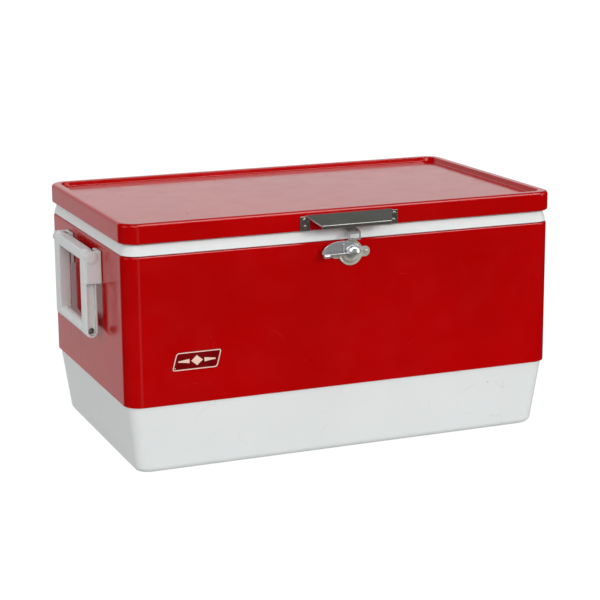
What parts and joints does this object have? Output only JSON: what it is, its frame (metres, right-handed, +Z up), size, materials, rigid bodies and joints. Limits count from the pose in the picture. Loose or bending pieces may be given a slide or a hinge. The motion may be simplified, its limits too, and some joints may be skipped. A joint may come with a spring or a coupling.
{
  "type": "picnic cooler chest",
  "caption": "Insulated picnic cooler chest: steel belt on a plastic tub, hinged steel lid with a pull, turn latch and swing handles.",
  "frame": {"origin": "centre of the flat underside that the chest stands on", "axes": "+X along the length, the front with the latch faces -Y, +Z up"},
  "size_m": [0.6112, 0.3751, 0.31],
  "materials": {
    "red_enamel": "glossy baked enamel on sheet steel",
    "white_plastic": "satin moulded plastic, slightly yellowed",
    "handle_plastic": "satin moulded plastic",
    "foam": "rigid foam",
    "seal_rubber": "soft matt seal",
    "chrome": "polished chrome plate, a little worn",
    "polished_steel": "polished stamped steel",
    "zinc_steel": "dull plated steel",
    "badge_paint": "dark red paint with a cream line"
  },
  "bodies": {
    "chest": {"base_tub": "white_plastic", "body_insulation": "foam", "body_shell": "red_enamel", "drain_fitting": "white_plastic", "front_badge": "badge_paint", "inner_liner": "white_plastic", "latch_base": "chrome", "latch_pivot": "chrome", "latch_screw_left": "chrome", "latch_screw_right": "chrome", "left_body_hinge_screw_1": "zinc_steel", "left_body_hinge_screw_2": "zinc_steel", "left_front_bracket": "handle_plastic", "left_front_pivot": "handle_plastic", "left_hinge_body_leaf": "polished_steel", "left_hinge_pin": "zinc_steel", "left_rear_bracket": "handle_plastic", "left_rear_pivot": "handle_plastic", "right_body_hinge_screw_1": "zinc_steel", "right_body_hinge_screw_2": "zinc_steel", "right_front_bracket": "handle_plastic", "right_front_pivot": "handle_plastic", "right_hinge_body_leaf": "polished_steel", "right_hinge_pin": "zinc_steel", "right_rear_bracket": "handle_plastic", "right_rear_pivot": "handle_plastic"},
    "lid": {"left_hinge_lid_leaf": "polished_steel", "left_lid_hinge_screw_1": "zinc_steel", "left_lid_hinge_screw_2": "zinc_steel", "lid_gasket": "seal_rubber", "lid_handle": "polished_steel", "lid_handle_screw_left_lower": "polished_steel", "lid_handle_screw_left_upper": "polished_steel", "lid_handle_screw_right_lower": "polished_steel", "lid_handle_screw_right_upper": "polished_steel", "lid_hasp": "chrome", "lid_hasp_rivet_lower": "chrome", "lid_hasp_rivet_upper": "chrome", "lid_insulation": "foam", "lid_liner": "white_plastic", "lid_shell": "red_enamel", "right_hinge_lid_leaf": "polished_steel", "right_lid_hinge_screw_1": "zinc_steel", "right_lid_hinge_screw_2": "zinc_steel"},
    "latch_lever": {"latch_lever": "chrome"},
    "left_carry_handle": {"left_carry_handle": "handle_plastic"},
    "right_carry_handle": {"right_carry_handle": "handle_plastic"},
    "drain_cap": {"drain_cap": "white_plastic"}
  },
  "joints": [
    {"name": "lid_hinge", "type": "hinge", "parent": "chest", "child": "lid", "pos_m": [0, 0.1752, 0.281], "axis": [-1, 0, 0], "range_deg": [0, 105]},
    {"name": "latch_turn", "type": "hinge", "parent": "chest", "child": "latch_lever", "pos_m": [0.0025, -0.17, 0.2546], "axis": [0, -1, 0], "range_deg": [0, 90]},
    {"name": "left_handle_swing", "type": "hinge", "parent": "chest", "child": "left_carry_handle", "pos_m": [-0.29765, 0, 0.255], "axis": [0, 1, 0], "range_deg": [0, 90]},
    {"name": "right_handle_swing", "type": "hinge", "parent": "chest", "child": "right_carry_handle", "pos_m": [0.29765, 0, 0.255], "axis": [0, -1, 0], "range_deg": [0, 90]},
    {"name": "drain_cap_turn", "type": "hinge", "parent": "chest", "child": "drain_cap", "pos_m": [0.27488, 0, 0.038], "axis": [0.9917, 0, -0.1287], "range_deg": [0, 720]}
  ]
}
